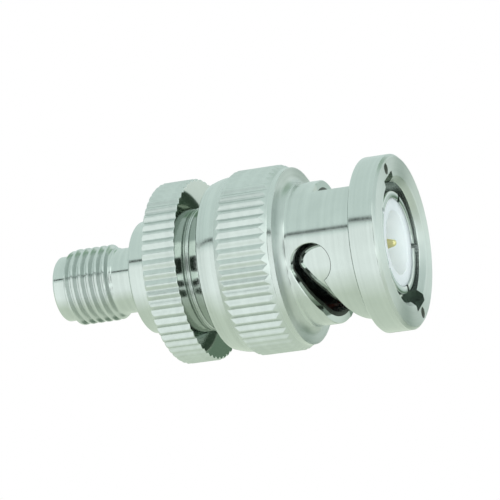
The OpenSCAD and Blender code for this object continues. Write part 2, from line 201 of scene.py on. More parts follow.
def mesh_object(name, points, faces):
    """An object at the origin from points in millimetres. Doubled points merge, so seams and poles close."""
    mesh = bpy.data.meshes.new(name)
    mesh.from_pydata(np.asarray(points, float).reshape(-1, 3) * MM, [], faces)
    work = bmesh.new()
    work.from_mesh(mesh)
    bmesh.ops.remove_doubles(work, verts=work.verts, dist=MERGE * MM)
    work.to_mesh(mesh)
    work.free()
    piece = bpy.data.objects.new(name, mesh)
    bpy.context.scene.collection.objects.link(piece)
    return piece


def turned(name, path, turns, loop=True):
    """Carries an outline round the axis on a grid of rows and columns: x = r cos(turn), y = r sin(turn) and
    z = height. A looped outline closes on its first row."""
    r, height = path[..., 0], path[..., 1]
    points = np.stack([r * np.cos(turns), r * np.sin(turns), height], -1)
    index = np.arange(r.size).reshape(r.shape)
    if loop:
        index = np.vstack([index, index[:1]])
    quads = np.stack([index[:-1, :-1], index[:-1, 1:], index[1:, 1:], index[1:, :-1]], -1).reshape(-1, 4)
    return mesh_object(name, points, quads)


def fit(piece, finishes, body, slot, *nodes):
    """Smooths a piece up to its sharp edges, gives it its finishes and seats it on its body, in place of CAD
    nodes."""
    mesh = piece.data
    mesh.polygons.foreach_set("use_smooth", np.ones(len(mesh.polygons), bool))
    mesh.set_sharp_from_angle(angle=SHARP_ANGLE)
    mesh.materials.clear()
    for finish in finishes:
        mesh.materials.append(finish)
    weighted = piece.modifiers.new("face_weighted_normals", "WEIGHTED_NORMAL")
    weighted.keep_sharp = True
    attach(piece, body)
    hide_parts(*nodes)


seat_z, spigot_z, collar_r = span("bnc_body")
contact_z = span("outer_contact")[1]
groove_low, groove_high, _ = span("retaining_ring")
boss_z = span("sma_body")[0]
nut_end = span("coupling_nut")[1]
stop_z = nut_end - RECESS_DEPTH
round_turns = even_turns(SMOOTH_COLUMNS)
core_outline = [
    (CORE_R, contact_z),
    (CORE_R, seat_z),
    (SEAT_R, seat_z),
    (SEAT_R, contact_z),
    (JOURNAL_R, contact_z),
    (JOURNAL_R, groove_low),
    (GROOVE_R, groove_low),
    (GROOVE_R, groove_high),
    (JOURNAL_R, groove_high),
    (JOURNAL_R, stop_z),
    (collar_r, stop_z),
    (collar_r, boss_z - SEAM_EDGE),
    (collar_r - SEAM_EDGE, boss_z),
    (JOURNAL_R, boss_z),
    (JOURNAL_R, spigot_z),
    (CORE_R, spigot_z),
    (CORE_R, boss_z)]
core = turned("plug_core", eased(columns(core_outline, round_turns.size)), round_turns)
collar_nickel = turned_nickel_plate("fine_turned_nickel_plate", COLLAR_GLOSS)
fit(core, [collar_nickel], "adapter", "nickel_plate", "bnc_body")

# Coupling nut
# One turned piece of nickel-plated brass: front ring, neck with two milled bayonet tracks, knurled grip and
# rear lip. Its inner web turns and slides on the plug body's journal. Painted shade: the walls of the tracks
# and the rear get a darker, greyer nickel, and the depth of the slots and the punch marks a nearly black
# one.
NUT_GLOSS = (0.16, 0.24)
FACE_GLOSS = (0.34, 0.42)
KNURL_GLOSS = (0.28, 0.36)
# Painted shade: a darker, greyer nickel where shade falls in the tracks, at the rear and on the grip disc's
# face under the nut, and a nearly black one deep in the slots and in the punch marks.
NICKEL_SHADE_PAINT = "#BCC4BD"
NICKEL_SHADE_PAINT_DULL = "#B2BAB3"
SHADE_PAINT_ROUGH = 0.08
NICKEL_DEEP_SHADE_PAINT = "#3E443B"
NICKEL_DEEP_SHADE_PAINT_DULL = "#343A32"
DEEP_SHADE_PAINT_ROUGH = 0.4
GROOVES = 55
GROOVE_DEPTH = 0.26
GROOVE_ROOT = 0.004
FLANK_ANGLE = math.radians(56)
GROOVE_SLOPE = 1 / math.tan(FLANK_ANGLE)
RIDGE_EDGE = 0.03
GROOVE_SHARES = np.array([0, 0.06, 0.45, 0.8, 0.9, 1])
BORE_R = 4.88
MOUTH_CHAMFER = 0.42
RING_R = 7.125
RING_CHAMFER = 0.22
RING_BACK_CHAMFER = 0.11
RING_END = 2.33
NECK_R = 5.85
NECK_END = 7.95
GRIP_FILLET = 0.7
GRIP_BAND_R = 7.25
GRIP_BAND = 0.4
GRIP_CONE = 0.55
GRIP_LENGTH = 3.45
LIP_R = 7.2
LIP_STEP = 0.6
LIP_END_R = 6.9
LIP_ROUND = 0.2
LIP_STEPS = 6
ARC_STEPS = 6
RECESS_R = 5.55
WEB = 0.75
WEB_HOLE_R = 3.64
TRACKS = 2
TRACK_START = math.radians(160)
TRACK_SWEEP = math.radians(101)
TRACK_LOW = 3.63
TRACK_HIGH = 6.85
TRACK_W = 2.05
TRACK_STEPS = 48
LOCK_PAST = math.radians(2)
LOCK_Z = 6.18
LOCK_R = 1.65
ENTRY_W = 2.35
ENTRY_FLOOR = 5.7
ENTRY_HIGH = 6.08
ENTRY_SWEEP = math.radians(58)
BROKEN_EDGE = 0.06
# Reach from the axis under which the slot walls get the painted deep shade; each cut has a ring there.
DEEP_SHADE_R = 5.26
MARK_R = 6.3
MARK_WIDTH = 0.9
MARK_DEPTH = 0.22
PAST = 0.5
HOLE_COLUMNS = 64
HOLE_TURNS = np.linspace(0, 2 * math.pi, HOLE_COLUMNS, endpoint=False)
# A cut reaches from inside the bore to outside the neck, and widens there to break the edge.
FLARE = PAST + BROKEN_EDGE
CUT_REACH = np.array([BORE_R - PAST, DEEP_SHADE_R, NECK_R + PAST - FLARE, NECK_R + PAST])
CUT_WIDER = np.array([0, 0, 0, FLARE])


def knurl_turns():
    """Columns of a straight knurl: each half pitch is cut at the same shares, close together at bends."""
    shares = np.concatenate([GROOVE_SHARES, 2 - GROOVE_SHARES[-2:0:-1]])
    pitches = 2 * np.arange(GROOVES)[:, None]
    return np.append((pitches + shares).ravel(), 2 * GROOVES) * math.pi / GROOVES


def knurl_radius(turns, outer):
    """Radius of a knurled bar: V flanks 56 degrees off the radius, r = floor / (cos a - sin a / tan 56) at
    an angle a from a groove, kept under the bar's radius by a soft minimum that rounds the ridges."""
    half = math.pi / GROOVES
    a = np.abs((turns + half) % (2 * half) - half)
    flank = (outer - GROOVE_DEPTH) / (np.cos(a) - GROOVE_SLOPE * np.hypot(np.sin(a), GROOVE_ROOT))
    sink = outer - flank
    return outer - (sink + np.hypot(sink, RIDGE_EDGE)) / 2


def arc(centre, r, start, end):
    """Points centre + r (cos a, sin a) from one angle to another, in degrees."""
    a = np.radians(np.linspace(start, end, ARC_STEPS + 1))
    return list(zip(centre[0] + r * np.cos(a), centre[1] + r * np.sin(a)))


def loft(name, rings):
    """A closed cutter through rings of points (rings, points, 3), flat at its first and its last ring."""
    count, around = rings.shape[:2]
    index = np.arange(count * around).reshape(count, around)
    index = np.hstack([index, index[:, :1]])
    sides = np.stack([index[:-1, :-1], index[:-1, 1:], index[1:, 1:], index[1:, :-1]], -1).reshape(-1, 4)
    cutter = mesh_object(name, rings, [*sides.tolist(), index[0, -2::-1].tolist(), index[-1, :-1].tolist()])
    work = bmesh.new()
    work.from_mesh(cutter.data)
    bmesh.ops.recalc_face_normals(work, faces=work.faces)
    work.to_mesh(cutter.data)
    work.free()
    return cutter


def box_rings(low, high, turn):
    """Four corners at the lower and the upper height of a box, turned about the axis."""
    x, y = np.array([low[0], high[0], high[0], low[0]]), np.array([low[1], low[1], high[1], high[1]])
    c, s = math.cos(turn), math.sin(turn)
    return np.array([np.stack([x * c - y * s, x * s + y * c, np.full(4, z)], -1) for z in (low[2], high[2])])


def hole_rings(r, turn, z):
    """Rings of a hole out through the neck, each laid on a cylinder about the axis: y = r cos(a),
    z = r sin(a), x = sqrt(reach^2 - y^2). The last ring is wider, which breaks the edge at 45 degrees."""
    wide = r + CUT_WIDER[:, None]
    y = wide * np.cos(HOLE_TURNS)
    x = np.sqrt(CUT_REACH[:, None] ** 2 - y ** 2)
    c, s = math.cos(turn), math.sin(turn)
    return np.stack([x * c - y * s, x * s + y * c, z + wide * np.sin(HOLE_TURNS)], -1)


def ramp_rings(first_turn, sweep, low, high):
    """Rings of a slot that climbs round the neck: z = low + (high - low) t at turn = first + sweep t. Each
    ring is a section across the slot, wider at its outer end to break the edge."""
    t = np.linspace(0, 1, TRACK_STEPS + 1)[:, None]
    half = TRACK_W / 2 * math.hypot(1, (high - low) / (NECK_R * sweep))
    wide = half + CUT_WIDER
    r, side = np.append(CUT_REACH, CUT_REACH[::-1]), np.append(-wide, wide[::-1])
    turn = first_turn + sweep * t
    return np.stack([r * np.cos(turn), r * np.sin(turn), low + (high - low) * t + side], -1)


def mark_rings(turn):
    """Two rings of a punch mark: a cone with its point inside the front face and its wide end outside it."""
    centre = MARK_R * np.array([math.cos(turn), math.sin(turn)])
    around = np.stack([np.cos(HOLE_TURNS), np.sin(HOLE_TURNS)], -1)
    outside_r = MARK_WIDTH / 2 * (1 + PAST / MARK_DEPTH)
    return np.stack([np.column_stack([centre + r * around, np.full(HOLE_COLUMNS, z)])
                     for r, z in ((outside_r, -PAST), (MERGE, MARK_DEPTH))])


def carve(piece, cutters):
    """Cuts the cutters out of a piece for good, then removes them."""
    tools = bpy.data.collections.new("cutters")
    for cutter in cutters:
        tools.objects.link(cutter)
    cut = piece.modifiers.new("carve", "BOOLEAN")
    cut.operand_type = "COLLECTION"
    cut.collection = tools
    cut.solver = "EXACT"
    whole = piece.data
    carved = piece.evaluated_get(bpy.context.evaluated_depsgraph_get())
    piece.data = bpy.data.meshes.new_from_object(carved)
    piece.modifiers.clear()
    bpy.data.meshes.remove(whole)
    for cutter in cutters:
        bpy.data.meshes.remove(cutter.data)
    bpy.data.collections.remove(tools)


def track_cutters(first_turn):
    """One bayonet track: entry channel, wide entry, sloping slot, round end, locking hole, punch mark."""
    half_w = ENTRY_W / 2
    entry_middle = ENTRY_HIGH - TRACK_W / 2
    merge = TRACK_LOW + (TRACK_HIGH - TRACK_LOW) * ENTRY_SWEEP / TRACK_SWEEP
    last_turn = first_turn + TRACK_SWEEP
    shapes = {
        "channel": box_rings((0, -half_w, -PAST), (ENTRY_FLOOR, half_w, TRACK_LOW), first_turn),
        "entry": box_rings((0, -half_w, RING_END), (NECK_R + PAST, half_w, ENTRY_HIGH), first_turn),
        "entry_ramp": ramp_rings(first_turn, ENTRY_SWEEP, entry_middle, merge),
        "ramp": ramp_rings(first_turn, TRACK_SWEEP, TRACK_LOW, TRACK_HIGH),
        "end": hole_rings(TRACK_W / 2, last_turn, TRACK_HIGH),
        "lock": hole_rings(LOCK_R, last_turn + LOCK_PAST, LOCK_Z),
        "mark": mark_rings(first_turn)}
    return [loft("cut_" + name, rings) for name, rings in shapes.items()]


def painted_shade_nickel_plate(name, tone, dull_tone, roughness):
    """Nickel with painted shade for cuts and narrow gaps: a darker, greyer tone than outside, in soft
    clouds, which stands in for the shade there."""
    material, tree, shader = new_material(name, ("Metallic", 1.0), ("Roughness", roughness))
    place = add(tree, "ShaderNodeTexCoord").outputs["Object"]
    haze = add(tree, "ShaderNodeTexNoise", ("Vector", place), ("Scale", 1 / (HAZE_SIZE * MM)),
               ("Detail", HAZE_DETAIL))
    shade = add(tree, "ShaderNodeMix", (MIX_SHARE, haze.outputs[0]), (MIX_FROM, linear(tone)),
                (MIX_TO, linear(dull_tone)), data_type="RGBA")
    tree.links.new(shade.outputs[MIXED], shader.inputs["Base Color"])
    return material


def plain_nickel_plate(name, gloss_range):
    """Bright nickel on a knurled or polished surface, without tool marks to smear it one way: its gloss
    alone changes in faint rings."""
    material, tree, shader = new_material(name, ("Metallic", 1.0))
    rings = lathe_rings(tree, TURNING_PITCH)
    gloss = add(tree, "ShaderNodeMapRange", ("Value", rings), ("From Min", TOOL_RING_RANGE[0]),
                ("From Max", TOOL_RING_RANGE[1]), ("To Min", gloss_range[0]), ("To Max", gloss_range[1]))
    tree.links.new(nickel_tone(tree), shader.inputs["Base Color"])
    tree.links.new(gloss.outputs[0], shader.inputs["Roughness"])
    return material


def face_middles(piece):
    """Distance from the axis and height of the middle of each face, in millimetres."""
    middles = np.empty(3 * len(piece.data.polygons))
    piece.data.polygons.foreach_get("center", middles)
    x, y, z = middles.reshape(-1, 3).T / MM
    return np.hypot(x, y), z


def set_finishes(piece, *masks):
    """Gives the faces in each mask a finish of the piece, from its second on; the rest keep the first."""
    numbers = np.select(masks, np.arange(1, len(masks) + 1), 0)
    piece.data.polygons.foreach_set("material_index", numbers.astype(np.int32))
    piece.data.update()


turned_nickel = turned_nickel_plate("turned_nickel_plate", NUT_GLOSS)
faced_nickel = turned_nickel_plate("coarse_turned_nickel_plate", FACE_GLOSS)
# Painted shade: darker nickel for gaps and cuts, and nearly black nickel for the depth of the slots and the
# punch marks.
shade_painted_nickel = painted_shade_nickel_plate("painted_shade_nickel_plate", NICKEL_SHADE_PAINT, NICKEL_SHADE_PAINT_DULL, SHADE_PAINT_ROUGH)
deep_shade_painted_nickel = painted_shade_nickel_plate("deep_painted_shade_nickel_plate", NICKEL_DEEP_SHADE_PAINT, NICKEL_DEEP_SHADE_PAINT_DULL,
                                   DEEP_SHADE_PAINT_ROUGH)
knurled_nickel = plain_nickel_plate("knurled_nickel_plate", KNURL_GLOSS)
grip_r = span("coupling_nut")[2]
ridged_turns = knurl_turns()
ridge = knurl_radius(ridged_turns, grip_r)
face_z = NECK_END + GRIP_FILLET
cone_z = face_z + GRIP_BAND
grip_z = cone_z + GRIP_CONE
grip_end = grip_z + GRIP_LENGTH
lip_z = grip_end + LIP_STEP
ridge_start = cone_z + GRIP_CONE * (ridge - GRIP_BAND_R) / (grip_r - GRIP_BAND_R)
ridge_end = grip_end + LIP_STEP * (grip_r - ridge) / (grip_r - LIP_R)
lip_share = np.linspace(0, 1, LIP_STEPS, endpoint=False)
lip_r = LIP_R - (LIP_R - LIP_END_R) * lip_share ** 2
nut_outline = [
    (BORE_R, NECK_END),
    (BORE_R, MOUTH_CHAMFER),
    (BORE_R + MOUTH_CHAMFER, 0),
    (RING_R - RING_CHAMFER, 0),
    (RING_R, RING_CHAMFER),
    (RING_R, RING_END - RING_BACK_CHAMFER),
    (RING_R - RING_BACK_CHAMFER, RING_END),
    (NECK_R, RING_END),
    *arc((NECK_R + GRIP_FILLET, NECK_END), GRIP_FILLET, 180, 90),
    (GRIP_BAND_R, face_z),
    (GRIP_BAND_R, cone_z),
    (ridge, ridge_start),
    (ridge, ridge_end),
    *zip(lip_r, lip_z + (nut_end - LIP_ROUND - lip_z) * lip_share),
    *arc((LIP_END_R - LIP_ROUND, nut_end - LIP_ROUND), LIP_ROUND, 0, 90),
    (RECESS_R, nut_end),
    (RECESS_R, stop_z),
    (WEB_HOLE_R, stop_z),
    (WEB_HOLE_R, stop_z - WEB),
    (BORE_R, stop_z - WEB),
    (BORE_R, cone_z)]
nut = turned("coupling_nut_turned", eased(columns(nut_outline, ridged_turns.size)), ridged_turns)
track_turns = [TRACK_START + 2 * math.pi * i / TRACKS for i in range(TRACKS)]
carve(nut, [cutter for turn in track_turns for cutter in track_cutters(turn)])
fit(nut, [turned_nickel, deep_shade_painted_nickel, shade_painted_nickel, knurled_nickel, faced_nickel], "nut", "nickel_plate",
    "coupling_nut")
reach, height = face_middles(nut)
rear = (height > nut_end - EDGE) | (height > stop_z - EDGE) & (reach < RECESS_R + EDGE)
mark = (height > MERGE) & (height < MARK_DEPTH) & (np.abs(reach - MARK_R) < MARK_WIDTH / 2)
in_wall = (reach > BORE_R + EDGE) & (reach < NECK_R - BROKEN_EDGE)
milled = in_wall & (height > MOUTH_CHAMFER + EDGE) & (height < stop_z)
deep = milled & (reach < DEEP_SHADE_R) & (height > RING_END)
knurled = (reach > RING_R) & (height > cone_z) & (height < lip_z - EDGE)
faced = (height < RING_CHAMFER) | (reach > NECK_R + EDGE) & (height > NECK_END) & (height < face_z + EDGE)
# Painted shade: the punch marks and the depth of the slots get the nearly black nickel, the rear and the
# track walls the darker one.
set_finishes(nut, mark | deep, rear | milled, knurled, faced)

# Spring stack
# Two wavy washers of spring steel between a thrust washer on the nut's web and a flat washer, which an open
# retaining ring holds on the journal. The waves flatten as the nut is pushed towards its mouth.
STEEL = "#9CA2A4"
STEEL_DARK = "#868C8E"
STEEL_GLOSS = (0.25, 0.45)
ROLLING_PITCH = 0.06
ROLLING_STRETCH = (0.05, 1, 1)
WAVES = 3
WAVE_SHEET = 0.18
WAVE_INNER_R = 3.7


def rolled_spring_steel():
    """Cold-rolled spring steel: grey and half bright, with fine streaks along the rolling direction."""
    material, tree, shader = new_material("rolled_spring_steel", ("Metallic", 1.0))
    place = add(tree, "ShaderNodeTexCoord").outputs["Object"]
    stretch = add(tree, "ShaderNodeVectorMath", (0, place), (1, ROLLING_STRETCH), operation="MULTIPLY")
    streaks = add(tree, "ShaderNodeTexNoise", ("Vector", stretch.outputs[0]),
                  ("Scale", 1 / (ROLLING_PITCH * MM)))
    tone = add(tree, "ShaderNodeMix", (MIX_SHARE, streaks.outputs[0]), (MIX_FROM, linear(STEEL)),
               (MIX_TO, linear(STEEL_DARK)), data_type="RGBA")
    gloss = add(tree, "ShaderNodeMapRange", ("Value", streaks.outputs[0]), ("To Min", STEEL_GLOSS[0]),
                ("To Max", STEEL_GLOSS[1]))
    tree.links.new(tone.outputs[MIXED], shader.inputs["Base Color"])
    tree.links.new(gloss.outputs[0], shader.inputs["Roughness"])
    return material


spring_steel = rolled_spring_steel()
for node in ("thrust_washer", "flat_washer", "retaining_ring"):
    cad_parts[node].data.materials.clear()
    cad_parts[node].data.materials.append(spring_steel)

for node, side in (("wave_washer_front", 1), ("wave_washer_rear", -1)):
    low, high, wave_r = span(node)
    swing = (high - low - WAVE_SHEET) / 2
    middle = (low + high) / 2 + side * swing * np.cos(WAVES * round_turns)
    under, over = middle - WAVE_SHEET / 2, middle + WAVE_SHEET / 2
    wave_outline = [(WAVE_INNER_R, middle), (WAVE_INNER_R, under), (wave_r, under), (wave_r, over),
                    (WAVE_INNER_R, over), (WAVE_INNER_R, middle)]
    # The outline comes back to its first point, so its last row is left to the loop.
    washer = turned(node + "_sheet", eased(columns(wave_outline, round_turns.size))[:-1], round_turns)
    fit(washer, [spring_steel], "adapter", "spring_steel", node)
    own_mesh(washer)

# Outer contact
# A nickel-plated sleeve on a flange, pressed over the front seat of the plug body. Saw cuts make spring
# fingers of its end, which grip the inside of the mating jack.
SLEEVE_R = 4.2
SLEEVE_BORE_R = 3.6
SLEEVE_EDGE = 0.15
FLANGE = 0.6
SEAT_GAP = 0.01
FINGERS = 5
FINGER_TURN = math.radians(97)
FINGER_CUT_W = 0.4
FINGER_CUT_L = 4.4
SLEEVE_GLOSS = (0.04, 0.10)

sleeve_z, _, flange_r = span("outer_contact")
sleeve_outline = [
    (SLEEVE_BORE_R, sleeve_z + FINGER_CUT_L),
    (SLEEVE_BORE_R, sleeve_z),
    *arc((SLEEVE_R - SLEEVE_EDGE, sleeve_z + SLEEVE_EDGE), SLEEVE_EDGE, -90, 0),
    (SLEEVE_R, contact_z - FLANGE),
    (flange_r, contact_z - FLANGE),
    (flange_r, contact_z),
    (SEAT_R + SEAT_GAP, contact_z),
    (SEAT_R + SEAT_GAP, seat_z),
    (SLEEVE_BORE_R, seat_z),
    (SLEEVE_BORE_R, seat_z - EDGE)]
sleeve = turned("contact_sleeve", eased(columns(sleeve_outline, round_turns.size)), round_turns)
finger_low = (0, -FINGER_CUT_W / 2, sleeve_z - PAST)
finger_high = (SLEEVE_R + PAST, FINGER_CUT_W / 2, sleeve_z + FINGER_CUT_L)
finger_turns = [FINGER_TURN + 2 * math.pi * i / FINGERS for i in range(FINGERS)]
carve(sleeve, [loft("cut_finger", box_rings(finger_low, finger_high, turn)) for turn in finger_turns])
sleeve_nickel = plain_nickel_plate("polished_nickel_plate", SLEEVE_GLOSS)
fit(sleeve, [sleeve_nickel], "adapter", "nickel_plate", "outer_contact")

# Gasket
# A moulded ring of red silicone rubber, pushed over the sleeve against its flange. The end of the mating
# jack's tube presses on it. It shows only in the shade of the slots.
SILICONE = "#D6402E"
SILICONE_DARK = "#C23727"
SILICONE_GRAIN = 0.15
SILICONE_IOR = 1.41
SILICONE_ROUGH = 0.45
SILICONE_BUMP = 0.2
SILICONE_RELIEF = 0.02
GASKET_EDGE = 0.08


def moulded_silicone():
    """Pigmented silicone from a steel mould: dull red, with a soft grain that breaks its gloss."""
    material, tree, shader = new_material("moulded_silicone", ("IOR", SILICONE_IOR),
                                          ("Roughness", SILICONE_ROUGH))
    place = add(tree, "ShaderNodeTexCoord").outputs["Object"]
    grain = add(tree, "ShaderNodeTexNoise", ("Vector", place), ("Scale", 1 / (SILICONE_GRAIN * MM)))
    tone = add(tree, "ShaderNodeMix", (MIX_SHARE, grain.outputs[0]), (MIX_FROM, linear(SILICONE)),
               (MIX_TO, linear(SILICONE_DARK)), data_type="RGBA")
    bump = add(tree, "ShaderNodeBump", ("Strength", SILICONE_BUMP), ("Distance", SILICONE_RELIEF * MM),
               ("Height", grain.outputs[0]))
    tree.links.new(tone.outputs[MIXED], shader.inputs["Base Color"])
    tree.links.new(bump.outputs[0], shader.inputs["Normal"])
    return material


gasket_low, gasket_high, gasket_r = span("gasket")
gasket_hole = SLEEVE_R + SEAT_GAP
gasket_outline = [
    (gasket_hole, gasket_high - GASKET_EDGE),
    *arc((gasket_hole + GASKET_EDGE, gasket_low + GASKET_EDGE), GASKET_EDGE, 180, 270),
    *arc((gasket_r - GASKET_EDGE, gasket_low + GASKET_EDGE), GASKET_EDGE, 270, 360),
    (gasket_r, gasket_high),
    (gasket_hole, gasket_high),
    (gasket_hole, gasket_high - EDGE)]
gasket = turned("gasket_ring", columns(gasket_outline, round_turns.size), round_turns)
fit(gasket, [moulded_silicone()], "adapter", "silicone", "gasket")

# Plug insulator
# A white PTFE piece, turned from bar and pushed into the sleeve and the plug body. Its flat rim stands round
# a deep well that takes the mating socket.
PTFE = "#F8FAFB"
PTFE_SHADE = "#F1F5F7"
PTFE_CLOUD = 1.2
PTFE_RINGS = 0.14
PTFE_IOR = 1.36
PTFE_ROUGH = 0.42
PTFE_BUMP = 0.1
PTFE_RELIEF = 0.02
PTFE_GLOW = 0.7
PTFE_GLOW_DEPTH = 1.0
EVEN_DEPTH = (1.0, 1.0, 1.0)
WELL_R = 2.6
WELL_DEPTH = 5.0
PIN_HOLE_R = 0.685
SLIM_R = 2.29


def turned_ptfe():
    """PTFE bar, turned: waxy and a little see-through, a cool white with soft rings from the tool."""
    material, tree, shader = new_material(
        "turned_ptfe", ("IOR", PTFE_IOR), ("Roughness", PTFE_ROUGH), ("Subsurface Weight", PTFE_GLOW),
        ("Subsurface Radius", EVEN_DEPTH), ("Subsurface Scale", PTFE_GLOW_DEPTH * MM))
    place = add(tree, "ShaderNodeTexCoord").outputs["Object"]
    mottle = add(tree, "ShaderNodeTexNoise", ("Vector", place), ("Scale", 1 / (PTFE_CLOUD * MM)))
    tone = add(tree, "ShaderNodeMix", (MIX_SHARE, mottle.outputs[0]), (MIX_FROM, linear(PTFE)),
               (MIX_TO, linear(PTFE_SHADE)), data_type="RGBA")
    bump = add(tree, "ShaderNodeBump", ("Strength", PTFE_BUMP), ("Distance", PTFE_RELIEF * MM),
               ("Height", lathe_rings(tree, PTFE_RINGS)))
    tree.links.new(tone.outputs[MIXED], shader.inputs["Base Color"])
    tree.links.new(bump.outputs[0], shader.inputs["Normal"])
    return material


ptfe = turned_ptfe()
rim_z, _, rim_r = span("bnc_insulator")
well_z = rim_z + WELL_DEPTH
insulator_outline = [
    (WELL_R, well_z - EDGE),
    (WELL_R, rim_z),
    (rim_r, rim_z),
    (rim_r, seat_z),
    (SLIM_R, seat_z),
    (SLIM_R, spigot_z),
    (PIN_HOLE_R, spigot_z),
    (PIN_HOLE_R, well_z),
    (WELL_R, well_z),
    (WELL_R, well_z - EDGE / 2)]
insulator = turned("plug_insulator", eased(columns(insulator_outline, round_turns.size)), round_turns)
fit(insulator, [ptfe], "adapter", "ptfe", "bnc_insulator")

# Centre pin
# A turned brass pin with gold plate, held in the plug insulator. It tapers to a rounded tip at the mouth,
# and its rear spigot is pressed into the jack's socket.
GOLD = "#E6DDA9"
GOLD_DEEP = "#DCD094"
GOLD_CLOUD = 0.6
GOLD_RINGS = 0.08
GOLD_GLOSS = (0.25, 0.45)
PIN_COLUMNS = 96
PIN_EDGE = EDGE / 4
PIN_TIP_R = 0.3
PIN_TAPER = 1.9
PIN_SPIGOT_R = 0.4


def bright_gold_plate():
    """Thin gold over nickel on a turned pin: pale yellow, bright, with faint rings."""
    material, tree, shader = new_material("bright_gold_plate", ("Metallic", 1.0))
    place = add(tree, "ShaderNodeTexCoord").outputs["Object"]
    shade = add(tree, "ShaderNodeTexNoise", ("Vector", place), ("Scale", 1 / (GOLD_CLOUD * MM)))
    tone = add(tree, "ShaderNodeMix", (MIX_SHARE, shade.outputs[0]), (MIX_FROM, linear(GOLD)),
               (MIX_TO, linear(GOLD_DEEP)), data_type="RGBA")
    gloss = add(tree, "ShaderNodeMapRange", ("Value", lathe_rings(tree, GOLD_RINGS)),
                ("To Min", GOLD_GLOSS[0]), ("To Max", GOLD_GLOSS[1]))
    tree.links.new(tone.outputs[MIXED], shader.inputs["Base Color"])
    tree.links.new(gloss.outputs[0], shader.inputs["Roughness"])
    return material


gold = bright_gold_plate()
pin_z, pin_end, pin_r = span("centre_pin")
pin_turns = even_turns(PIN_COLUMNS)
pin_outline = [
    *arc((0, pin_z + PIN_TIP_R), PIN_TIP_R, -90, 0),
    (pin_r, pin_z + PIN_TAPER),
    (pin_r, spigot_z),
    (PIN_SPIGOT_R, spigot_z),
    (PIN_SPIGOT_R, pin_end),
    (0, pin_end)]
pin = turned("gilt_pin", eased(columns(pin_outline, pin_turns.size), PIN_EDGE), pin_turns, loop=False)
fit(pin, [gold], "adapter", "gold_plate", "centre_pin")

# Threaded jack
# Jack, shoulder and knurled grip disc turned from one brass bar and nickel plated. The thread is 1/4 inch
# with 36 turns to the inch, cut up to a plain neck.
INCH = 25.4
TURNS_PER_INCH = 36
THREAD_PITCH = INCH / TURNS_PER_INCH
THREAD_DEPTH = 0.34
THREAD_GLOSS = (0.20, 0.27)
THREAD_R = 3.15
THREAD_ROWS = 14
THREAD_ROOT = 0.15
THREAD_FLANK = 0.6
THREAD_SOFT = 0.4
SPARE_TURNS = 2
THREAD_FADE = 0.5
THREAD_LEAD = 1.8
RELIEF_R = 2.7
NOSE_R = 2.7
NOSE_L = 1.05
JACK_EDGE = 0.15
THREAD_L = 4.3
RELIEF_L = 2.3
SHOULDER_R = 4.65
SHOULDER_L = 2.45
DISC_R = 7.5
DISC_CHAMFER = 0.08
DISC_BACK_CHAMFER = 0.15
DISC_L = 2.84
FACE_EDGE = 0.15
MATE_R = 2.3
MATE_L = 1.93
JACK_BORE_R = 2.06


def thread_rows(turns, low, high):
    """Rows that climb with the helix: height = low + pitch (row / rows a turn - 1 + turn / 360 degrees),
    held between low and high. The radius falls from crest to root along a soft V, and the groove fades out
    towards the neck."""
    count = THREAD_ROWS * (math.ceil((high - low) / THREAD_PITCH) + SPARE_TURNS)
    phase = np.arange(count)[:, None] / THREAD_ROWS
    height = np.clip(low + THREAD_PITCH * (phase - 1 + turns / (2 * math.pi)), low, high)
    wave = np.abs(2 * (phase % 1) - 1)
    flank = np.clip((wave - THREAD_ROOT) / THREAD_FLANK, 0, 1)
    rise = flank * flank * (3 - 2 * flank) * THREAD_SOFT + flank * (1 - THREAD_SOFT)
    fade = np.clip((height - low) / THREAD_FADE, 0, 1)
    radius = THREAD_R - THREAD_DEPTH * (1 - rise) * fade - (THREAD_R - RELIEF_R) * (1 - fade)
    lead = NOSE_R + (high - height) * THREAD_LEAD
    return np.stack([np.minimum(radius, lead), height], -1)


jack_end = span("sma_body")[1]
nose_z = jack_end - NOSE_L
thread_z = nose_z - THREAD_L
relief_z = thread_z - RELIEF_L
shoulder_z = relief_z - SHOULDER_L
disc_z = shoulder_z - DISC_L
mate_z = jack_end - MATE_L
disc_ridge = knurl_radius(ridged_turns, DISC_R)
disc_front = np.minimum(disc_ridge, DISC_R - DISC_CHAMFER)
disc_back = np.minimum(disc_ridge, DISC_R - DISC_BACK_CHAMFER)
lower_outline = [
    (JOURNAL_R + SEAT_GAP, disc_z),
    (JOURNAL_R + SEAT_GAP, boss_z),
    (collar_r - SEAM_EDGE, boss_z),
    (collar_r, boss_z + SEAM_EDGE),
    (collar_r, disc_z),
    (collar_r + FACE_EDGE, disc_z),
    (disc_front - FACE_EDGE, disc_z),
    (disc_front, disc_z),
    (disc_ridge, disc_z + EDGE + disc_ridge - disc_front),
    (disc_ridge, shoulder_z - EDGE - (disc_ridge - disc_back)),
    (disc_back, shoulder_z),
    (SHOULDER_R, shoulder_z),
    (SHOULDER_R, relief_z - JACK_EDGE),
    (SHOULDER_R - JACK_EDGE, relief_z),
    (RELIEF_R, relief_z),
    (RELIEF_R, thread_z - EDGE)]
upper_outline = [
    (NOSE_R, nose_z + EDGE),
    (NOSE_R, jack_end - JACK_EDGE),
    (NOSE_R - JACK_EDGE, jack_end),
    (MATE_R, jack_end),
    (MATE_R, mate_z),
    (JACK_BORE_R, mate_z),
    (JACK_BORE_R, spigot_z + SEAT_GAP),
    (JOURNAL_R + SEAT_GAP, spigot_z + SEAT_GAP),
    (JOURNAL_R + SEAT_GAP, shoulder_z)]
jack_path = np.concatenate([
    eased(columns(lower_outline, ridged_turns.size)),
    thread_rows(ridged_turns, thread_z, nose_z),
    eased(columns(upper_outline, ridged_turns.size))])
jack = turned("threaded_jack", jack_path, ridged_turns)
thread_nickel = turned_nickel_plate("cut_thread_nickel_plate", THREAD_GLOSS)
